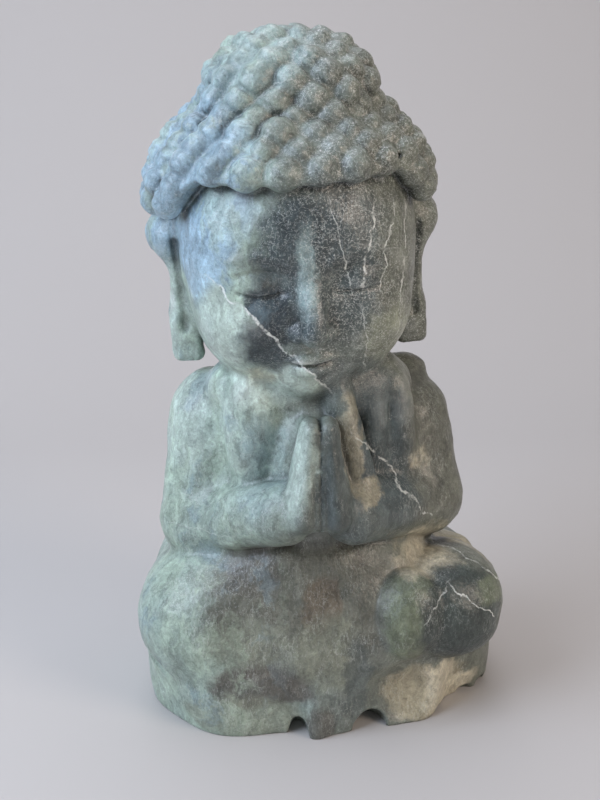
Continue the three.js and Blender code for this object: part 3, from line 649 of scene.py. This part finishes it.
class Shader:
    """Nodes of one material, with positions in millimetres over the middle of the robe."""

    def __init__(self, name):
        self.material = bpy.data.materials.new(name)
        self.material.use_nodes = True
        self.tree = self.material.node_tree
        self.tree.nodes.clear()

    def add(self, kind, inputs, **settings):
        made = self.tree.nodes.new(kind)
        for key, value in settings.items():
            setattr(made, key, value)
        for key, value in inputs.items():
            if isinstance(value, bpy.types.NodeSocket):
                self.tree.links.new(value, made.inputs[key])
            else:
                made.inputs[key].default_value = value
        return made

    def math(self, operation, a, b=0.0):
        return self.add("ShaderNodeMath", {0: a, 1: b}, operation=operation).outputs[0]

    def plus(self, a, b):
        return self.math("ADD", a, b)

    def minus(self, a, b):
        return self.math("SUBTRACT", a, b)

    def times(self, first, *others):
        for other in others:
            first = self.math("MULTIPLY", first, other)
        return first

    def vector(self, operation, a, b):
        made = self.add("ShaderNodeVectorMath", {0: a, 1: b}, operation=operation)
        return made.outputs["Value" if operation == "DOT_PRODUCT" else "Vector"]

    def scaled(self, place, scale):
        inputs = {0: place, SCALE_SOCKET: scale}
        return self.add("ShaderNodeVectorMath", inputs, operation="SCALE").outputs["Vector"]

    def noise_node(self, place, size, detail, roughness, distortion=0.0):
        inputs = {"Vector": place, "Scale": 1 / size, "Detail": detail, "Roughness": roughness}
        return self.add("ShaderNodeTexNoise", {**inputs, "Distortion": distortion})

    def noise(self, place, *sizes):
        return self.noise_node(place, *sizes).outputs["Fac"]

    def swirl(self, place, reach, *sizes):
        """A push in a random direction that changes from place to place."""
        push = self.vector("SUBTRACT", self.noise_node(place, *sizes).outputs["Color"], (0.5, 0.5, 0.5))
        return self.scaled(push, reach)

    def step(self, value, start, end):
        inputs = {"Value": value, "From Min": start, "From Max": end}
        return self.add("ShaderNodeMapRange", inputs, interpolation_type="SMOOTHSTEP").outputs["Result"]

    def spread(self, noise, low, high):
        """A noise's usual span, stretched to go from low to high."""
        inputs = {"Value": noise, "From Min": NOISE_SPAN[0], "From Max": NOISE_SPAN[1]}
        return self.add("ShaderNodeMapRange", {**inputs, "To Min": low, "To Max": high}).outputs["Result"]

    def mix(self, a, b, share):
        inputs = {MIX_SHARE: share, MIX_A: a, MIX_B: b}
        return self.add("ShaderNodeMix", inputs, data_type="RGBA").outputs[MIXED]

    def blob(self, place, centre, radii, soft):
        """1 inside an egg round the centre, 0 outside, with a soft rim."""
        away = self.vector("DIVIDE", self.vector("SUBTRACT", place, centre), radii)
        length = self.add("ShaderNodeVectorMath", {0: away}, operation="LENGTH").outputs["Value"]
        return self.step(length, 1 + soft, 1 - soft)

    def off_plane(self, place, normal, point):
        """How far a place lies from a plane through the point."""
        return self.minus(self.vector("DOT_PRODUCT", place, tuple(normal)), normal.dot(Vector(point)))


CELADON, SAGE, ASH, OLIVE, MOSS = map(rgb, ("#95a69a", "#7f8d83", "#737b74", "#6a6e63", "#6f7761"))
BLUE_MIST, MIST, PALE, SHEEN_SKY, MINT = map(rgb, ("#8ea5b1", "#96a9a6", "#aab8ac", "#9db8c8", "#b6c6bb"))
SLATE, INK, UMBER, LAP_GREY, STRAW = map(rgb, ("#4d5757", "#333d42", "#55514a", "#616258", "#878c7a"))
BOTTLE, LICHEN, RUSSET = map(rgb, ("#3d4541", "#98a08f", "#62513f"))
BEIGE, BONE, WHITE, BLACK = map(rgb, ("#b0a78d", "#c3bca6", "#e4e8e2", "#232827"))
JADE, STEEL = map(rgb, ("#a2b39f", "#758a92"))

# Noises give a size in millimetres, detail, roughness and, where they are bent, distortion. Swirls
# have their reach in front of these.
DRIFT, WISPS = (13.0, 24, 3, 0.5), (9.0, 6, 4, 0.65)
UPRIGHT = (1.0, 1.0, 0.2)  # draws a pattern out along the height
s = Shader("waxed_serpentine")  # its patterns are built up in the lines below
here = s.vector("MULTIPLY", s.add("ShaderNodeTexCoord", {}).outputs["Object"], (1 / MM,) * 3)
here = s.vector("SUBTRACT", here, tuple(SHIFT))
wisps = s.swirl(here, *WISPS)
cloud = s.vector("ADD", s.vector("ADD", here, s.swirl(here, *DRIFT)), wisps)
fibre = s.vector("MULTIPLY", cloud, UPRIGHT)

# Ground colour: celadon on the left, ash in the middle, olive to the right.
TO_ASH, TO_OLIVE = (-40, 2), (0, 40)
across = s.add("ShaderNodeSeparateXYZ", {0: cloud}).outputs["X"]
colour = s.mix(CELADON, ASH, s.step(across, *TO_ASH))
colour = s.mix(colour, OLIVE, s.step(across, *TO_OLIVE))

ZONE_RIM = 0.22
ZONES = (
    # Colour, middle, radii, share: the head
    (BLUE_MIST, (-52, -10, 212), (32, 60, 34), 0.95),
    (MIST, (-26, -14, 250), (22, 40, 16), 0.7),
    (OLIVE, (36, -10, 226), (36, 60, 44), 0.85),
    (ASH, (-6, -44, 226), (18, 40, 18), 0.7),
    (SLATE, (0, -50, 183), (27, 34, 28), 0.95),
    (INK, (-12, -52, 192), (16, 20, 12), 0.5),
    (INK, (-19, -46, 165), (12, 20, 12), 1.0),
    (OLIVE, (32, -40, 176), (15, 40, 34), 0.9),
    # painted highlight: a pale sky-blue sheen on the left of the forehead
    (SHEEN_SKY, (-46, -34, 188), (14, 26, 22), 0.8),
    (STRAW, (28, -40, 152), (15, 22, 14), 0.8),
    (MINT, (-52, 4, 152), (10, 24, 26), 0.7),
    (SLATE, (4, -44, 139), (20, 18, 9), 0.75),
    # Shoulders, arms and hands
    (MINT, (-48, -2, 120), (18, 36, 20), 0.7),
    (MIST, (-24, -34, 110), (9, 14, 22), 0.6),
    (MINT, (-12, -54, 113), (6.5, 18, 17), 0.9),
    (SLATE, (20, -30, 112), (16, 18, 32), 1.0),
    (SLATE, (4, -54, 106), (8, 18, 26), 0.75),
    (SLATE, (24, -42, 88), (20, 22, 11), 0.7),
    (LAP_GREY, (46, -6, 110), (18, 36, 34), 0.7),
    (BEIGE, (8, -38, 118), (5, 12, 18), 0.45),
    (BEIGE, (14, -40, 100), (6, 10, 5), 0.6),
    (BONE, (38.5, -33, 103), (7, 16, 9), 0.9),
    # Lap, knees and hem
    (LAP_GREY, (-8, -38, 52), (39, 30, 29), 0.98),
    (RUSSET, (-3, -42, 55), (8, 14, 11), 0.5),
    (UMBER, (-29, -40, 66), (11, 20, 11), 0.5),
    (SAGE, (-53, -38, 58), (11, 20, 15), 0.55),
    (STRAW, (-1, -44, 35), (13, 24, 16), 0.5),
    (LICHEN, (-26, -44, 36), (14, 24, 11), 0.4),
    (UMBER, (-26, -46, 21), (19, 22, 9), 0.9),
    (STRAW, (-34, -44, 8), (24, 22, 8), 0.6),
    (SLATE, (12, -48, 22), (6, 16, 20), 0.55),
    (MOSS, (31, -44, 48), (12, 14, 20), 0.95),
    (BONE, (40, -32, 69), (14, 22, 9), 0.9),
    (BEIGE, (60, 0, 57), (12, 16, 10), 0.6),
    (BEIGE, (44, -34, 12), (20, 22, 11), 0.75),
    (BONE, (49, -36, 16), (10, 18, 8), 0.85),
    (BONE, (54, -24, 5), (15, 18, 6), 0.9),
    (BOTTLE, (51, -36, 45), (19, 26, 19), 1.0),
    (MOSS, (63, -28, 53), (7, 14, 6), 0.75),
    (UMBER, (-3, -46, 4), (7, 14, 9), 0.7),
)
for tint, centre, radii, share in ZONES:
    colour = s.mix(colour, tint, s.times(s.blob(cloud, centre, radii, ZONE_RIM), share))

# Broad patches of yellower jade and of steel blue drift through the paler stone.
PATCHES, PATCH_STRETCH = (13, 4, 0.6, 0.4), (1.0, 1.0, 0.5)
JADE_FROM, STEEL_FROM, PATCH_SHARE = (0.50, 0.64), (0.46, 0.34), 0.5
PALE_SIDE = (-8, -34)
patches = s.noise(s.vector("MULTIPLY", cloud, PATCH_STRETCH), *PATCHES)
paler = s.step(across, *PALE_SIDE)
for tint, span in ((JADE, JADE_FROM), (STEEL, STEEL_FROM)):
    colour = s.mix(colour, tint, s.times(s.step(patches, *span), PATCH_SHARE, paler))

# A healed fracture divides the face: pale green below it on the left, with an ink-blue and a beige
# patch. A pale streak down the nose is a painted highlight.
WANDER, WANDER_REACH = (9, 4, 0.6), 7.0
CRACK = Vector((0.70, 0.12, 0.71)).normalized()
CRACK_AT = Vector((-20, -46, 158))
CRACK_EDGE = (0.6, -0.6)
CHEEK, CHEEK_RIM = ((-24, -40, 154), (26, 26, 28)), 0.12
CHEEK_NOISE, CHEEK_SPAN = (8, 4, 0.6), (0.4, 0.6)
CHEEK_PATCHES = (
    # Colour, middle, radii, share
    (INK, (-19, -46, 155), (14, 20, 12), 0.97),
    (BEIGE, (-26, -44, 140), (9, 16, 6), 0.7),
)
PATCH_RIM = 0.35
NOSE_HIGHLIGHT, NOSE_HIGHLIGHT_RIM, NOSE_HIGHLIGHT_SHARE = ((-9, -52, 180), (3.5, 14, 16)), 0.4, 0.7
wander = s.times(s.minus(s.noise(here, *WANDER), 0.5), WANDER_REACH)
past_crack = s.plus(s.off_plane(here, CRACK, CRACK_AT), wander)
below = s.times(s.step(past_crack, *CRACK_EDGE), s.blob(here, *CHEEK, CHEEK_RIM))
cheek = s.mix(MINT, PALE, s.step(s.noise(fibre, *CHEEK_NOISE), *CHEEK_SPAN))
for tint, centre, radii, share in CHEEK_PATCHES:
    cheek = s.mix(cheek, tint, s.times(s.blob(cloud, centre, radii, PATCH_RIM), share))
colour = s.mix(colour, cheek, below)
# painted highlight down the nose bridge
nose_highlight = s.blob(s.vector("ADD", here, wisps), *NOSE_HIGHLIGHT, NOSE_HIGHLIGHT_RIM)
colour = s.mix(colour, MIST, s.times(nose_highlight, NOSE_HIGHLIGHT_SHARE))

# Clouding, upright fibres and grain lighten and darken the stone.
TONES = (
    # Where, noise, darkest and lightest
    (cloud, (10, 4, 0.6, 0.5), (0.68, 1.34)),
    (fibre, (2.2, 4, 0.7), (0.64, 1.33)),
    (here, (1.0, 4, 0.7), (0.86, 1.14)),
)
tones = [s.spread(s.noise(place, *sizes), *span) for place, sizes, span in TONES]
colour = s.scaled(colour, s.times(*tones))

# Painted shade darkens the hollows, and a painted highlight lightens the crests, above all those of the
# curls.
GROOVES, GROOVE_SHADE = (0.06, 0.75), 0.72
CRESTS, CREST_HIGHLIGHT, CURL_HIGHLIGHT = (-0.05, -0.45), 0.10, 0.32
NECK_HEIGHTS = (128, 150)
hollow = s.add("ShaderNodeAttribute", {}, attribute_name="hollow").outputs["Fac"]
# painted shade: the hollows are mixed towards black
colour = s.mix(colour, BLACK, s.times(s.step(hollow, *GROOVES), GROOVE_SHADE))
on_head = s.step(s.add("ShaderNodeSeparateXYZ", {0: here}).outputs["Z"], *NECK_HEIGHTS)
highlight_share = s.plus(CREST_HIGHLIGHT, s.times(on_head, CURL_HIGHLIGHT))
# painted highlight: the crests, above all those of the curls, are mixed towards white
colour = s.mix(colour, WHITE, s.times(s.step(hollow, *CRESTS), highlight_share))

# White veins: thin flat sheets through the block, each seen as a line where it meets the skin.
VEINS = (
    # Normal, point, half width, middle and radii of the part that shows, strength
    (CRACK, CRACK_AT, 0.30, (-22, -44, 156), (30, 26, 30), 0.9),
    ((0.78, 0.0, 0.62), (25, -36, 101), 0.22, (27, -34, 98), (26, 22, 30), 0.7),
    ((0.60, 0.05, 0.80), (58, -36, 50), 0.17, (60, -30, 48), (19, 20, 15), 0.8),
    ((0.55, 0.3, 0.78), (64, -16, 55), 0.22, (60, -16, 58), (18, 16, 14), 0.7),
    ((-0.80, 0.1, 0.60), (40, -40, 52), 0.2, (40, -40, 54), (8, 16, 10), 0.5),
    ((0.95, 0.1, 0.25), (4, -50, 188), 0.16, (4, -44, 190), (8, 20, 18), 0.8),
    ((0.96, -0.2, -0.12), (11, -50, 188), 0.20, (11, -44, 190), (7, 20, 16), 0.85),
    ((0.95, -0.2, -0.12), (18, -46, 184), 0.16, (18, -40, 188), (8, 20, 18), 0.8),
    ((0.98, 0.1, -0.1), (27, -40, 180), 0.20, (27, -38, 184), (7, 20, 20), 0.8),
    ((0.96, 0.1, 0.2), (14, -46, 152), 0.18, (14, -42, 152), (9, 20, 16), 0.6),
    ((0.97, 0.1, -0.2), (24, -40, 154), 0.16, (24, -36, 154), (9, 20, 16), 0.5),
    ((0.5, 0.2, -0.84), (-26, -30, 236), 0.16, (-26, -20, 236), (24, 24, 12), 0.3),
    ((-0.6, 0.2, 0.77), (26, -30, 228), 0.18, (26, -20, 228), (26, 24, 14), 0.4),
    ((0.1, 0.2, 0.97), (-40, -20, 78), 0.16, (-40, -20, 78), (26, 24, 10), 0.3),
)
VEIN_OUTER, VEIN_CORE, VEIN_ENDS = 2, 0.4, 0.25
VEIN_BREAKS, BREAK_SPAN = (4, 3, 0.6), (0.36, 0.56)
vein = 0.0
for normal, point, width, centre, radii, strength in VEINS:
    away = s.math("ABSOLUTE", s.plus(s.off_plane(here, Vector(normal).normalized(), point), wander))
    line = s.step(away, width * VEIN_OUTER, width * VEIN_CORE)
    vein = s.math("MAXIMUM", vein, s.times(line, s.blob(here, centre, radii, VEIN_ENDS), strength))
broken = s.step(s.noise(here, *VEIN_BREAKS), *BREAK_SPAN)
colour = s.mix(colour, WHITE, s.times(vein, broken))

# Fine pale hair lines run through the stone, curling in the head and upright lower down, with
# flecks among them that are thickest in the face and on the right of the hair, and dark specks.
BODY_SQUASH = 0.28
STRANDS, STRAND_BEND, STRAND_EDGE = (1.8, 3, 0.6), 0.2, (0.028, 0.004)
CROWDS, CROWD_SPAN = (12, 4, 0.6), (0.42, 0.62)
SPECKLED_SIDE = (-30, 0)
LEAST_LINES, CROWD_LINES, HEAD_LINES, HEAD_FLECKS = 0.05, 0.16, 0.26, 0.25
FLECKS, FLECK_SPAN = (0.8, 3, 0.75), (0.57, 0.70)
SPECKS, SPECK_SPAN, SPECK_SHARE = (1.2, 4, 0.7), (0.58, 0.72), 0.42
ELSEWHERE = (31.0, 7.0, 3.0)  # sets the specks apart from the flecks
height_share = s.plus(BODY_SQUASH, s.times(on_head, 1 - BODY_SQUASH))
squash = s.add("ShaderNodeCombineXYZ", {0: 1.0, 1: 1.0, 2: height_share}).outputs[0]
strand_place = s.vector("ADD", s.vector("MULTIPLY", here, squash), s.scaled(wisps, STRAND_BEND))
strand = s.math("ABSOLUTE", s.minus(s.noise(strand_place, *STRANDS), 0.5))
crowded = s.step(s.noise(cloud, *CROWDS), *CROWD_SPAN)
speckled = s.times(on_head, s.step(across, *SPECKLED_SIDE))
amount = s.plus(s.plus(LEAST_LINES, s.times(crowded, CROWD_LINES)), s.times(speckled, HEAD_LINES))
colour = s.mix(colour, WHITE, s.times(s.step(strand, *STRAND_EDGE), amount))
fleck = s.step(s.noise(here, *FLECKS), *FLECK_SPAN)
colour = s.mix(colour, WHITE, s.times(fleck, s.plus(amount, s.times(speckled, HEAD_FLECKS))))
speck = s.step(s.noise(s.vector("ADD", here, ELSEWHERE), *SPECKS), *SPECK_SPAN)
colour = s.mix(colour, BLACK, s.times(speck, SPECK_SHARE))

# The skin: fine pits and upright rubbing marks under a satin wax.
RUBBING, RUBBING_WAY, RUBBING_DEPTH = (1.3, 3, 0.7), (1.0, 1.0, 0.12), 0.3
LUMPS, PITS, PIT_DEPTH = (4.5, 3, 0.6), (1.1, 3, 0.6), 0.35
BUMP_STRENGTH, BUMP_HEIGHT = 0.5, 0.0009
POLISH, POLISH_SPAN = (8, 3, 0.65), (0.28, 0.48)
marks = s.times(s.noise(s.vector("MULTIPLY", here, RUBBING_WAY), *RUBBING), RUBBING_DEPTH)
lumps = s.plus(s.noise(here, *LUMPS), s.times(s.noise(here, *PITS), PIT_DEPTH))
relief = {"Height": s.plus(marks, lumps), "Strength": BUMP_STRENGTH, "Distance": BUMP_HEIGHT}
body = s.add(
    "ShaderNodeBsdfPrincipled",
    {
        "Base Color": colour,
        "Roughness": s.spread(s.noise(here, *POLISH), *POLISH_SPAN),
        "Normal": s.add("ShaderNodeBump", relief).outputs[0],
        "IOR": 1.54,
        "Subsurface Weight": 0.1,
        "Subsurface Radius": (0.6, 1.0, 0.7),
        "Subsurface Scale": 0.002,
    },
)
s.add("ShaderNodeOutputMaterial", {"Surface": body.outputs[0]})
mesh.materials.append(s.material)

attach(stone, "root")
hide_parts("buddha_carving")


# Floor and backdrop: one pale matt paper sheet that curves up behind.
SWEEP_HALF_WIDTH, SWEEP_FRONT, SWEEP_BACK, SWEEP_TOP = 1.8, -1.2, 0.3, 2.2
SWEEP_RADIUS, SWEEP_STEPS = 0.4, 16
sweep_line = [(SWEEP_FRONT, 0.0), (SWEEP_BACK, 0.0)]
for step in range(1, SWEEP_STEPS + 1):
    turn = math.pi / 2 * step / SWEEP_STEPS
    rise = SWEEP_RADIUS - SWEEP_RADIUS * math.cos(turn)
    sweep_line.append((SWEEP_BACK + SWEEP_RADIUS * math.sin(turn), rise))
sweep_line.append((SWEEP_BACK + SWEEP_RADIUS, SWEEP_TOP))
sweep_points = np.array([(side * SWEEP_HALF_WIDTH, y, z) for y, z in sweep_line for side in (-1, 1)])
sweep_faces = np.array([(2 * i, 2 * i + 1, 2 * i + 3, 2 * i + 2) for i in range(len(sweep_line) - 1)])
sweep = make_mesh("sweep", sweep_points, sweep_faces)
sweep.data.polygons.foreach_set("use_smooth", np.ones(len(sweep_faces), bool))
paper = Shader("pale_paper")
matt = paper.add("ShaderNodeBsdfPrincipled", {"Base Color": rgb("#bfbbb8"), "Roughness": 0.85})
paper.add("ShaderNodeOutputMaterial", {"Surface": matt.outputs[0]})
sweep.data.materials.append(paper.material)


# Light: a wide cool window from the upper left, a weaker warm one from the right, one from above,
# and a dim room.
def window(name, at, target, size, power, tint):
    light = bpy.data.lights.new(name, "AREA")
    light.shape = "RECTANGLE"
    light.size = light.size_y = size
    light.energy = power
    light.color = rgb(tint)[:3]
    holder = bpy.data.objects.new(name, light)
    holder.location = at
    holder.rotation_euler = (Vector(target) - Vector(at)).to_track_quat("-Z", "Y").to_euler()
    bpy.context.collection.objects.link(holder)


# Name, place, aim, side, watts and colour of each
window("cool_window", (-0.75, -0.35, 0.65), (0, 0, 0.13), 0.7, 9.6, "#deebff")
window("warm_window", (0.8, -0.7, 0.55), (0, 0, 0.12), 0.45, 5.2, "#ffecda")
window("top_window", (-0.1, 0.1, 1.1), (0, 0, 0.1), 0.8, 5.0, "#f4f6ff")
ROOM_LIGHT = 0.35
world = bpy.data.worlds.new("room")
world.use_nodes = True
world.node_tree.nodes["Background"].inputs[0].default_value = rgb("#d5d9e2")
world.node_tree.nodes["Background"].inputs[1].default_value = ROOM_LIGHT
bpy.context.scene.world = world

# Camera: a little left of the middle and 17 degrees above, as in the photograph.
TARGET = Vector(((-7 + SHIFT[0]) * MM, SHIFT[1] * MM, 0.122))
TURN_ROUND, RISE, DISTANCE, VIEW_ANGLE = math.radians(-5), math.radians(17), 0.449, math.radians(38)
camera_data = bpy.data.cameras.new("camera")
camera_data.sensor_fit = "VERTICAL"
camera_data.angle = VIEW_ANGLE
camera = bpy.data.objects.new("camera", camera_data)
level = math.cos(RISE)
back = Vector((math.sin(TURN_ROUND) * level, -math.cos(TURN_ROUND) * level, math.sin(RISE)))
camera.location = TARGET + back * DISTANCE
camera.rotation_euler = (-back).to_track_quat("-Z", "Y").to_euler()
bpy.context.collection.objects.link(camera)
bpy.context.scene.camera = camera
bpy.context.scene.view_settings.view_transform = "Standard"
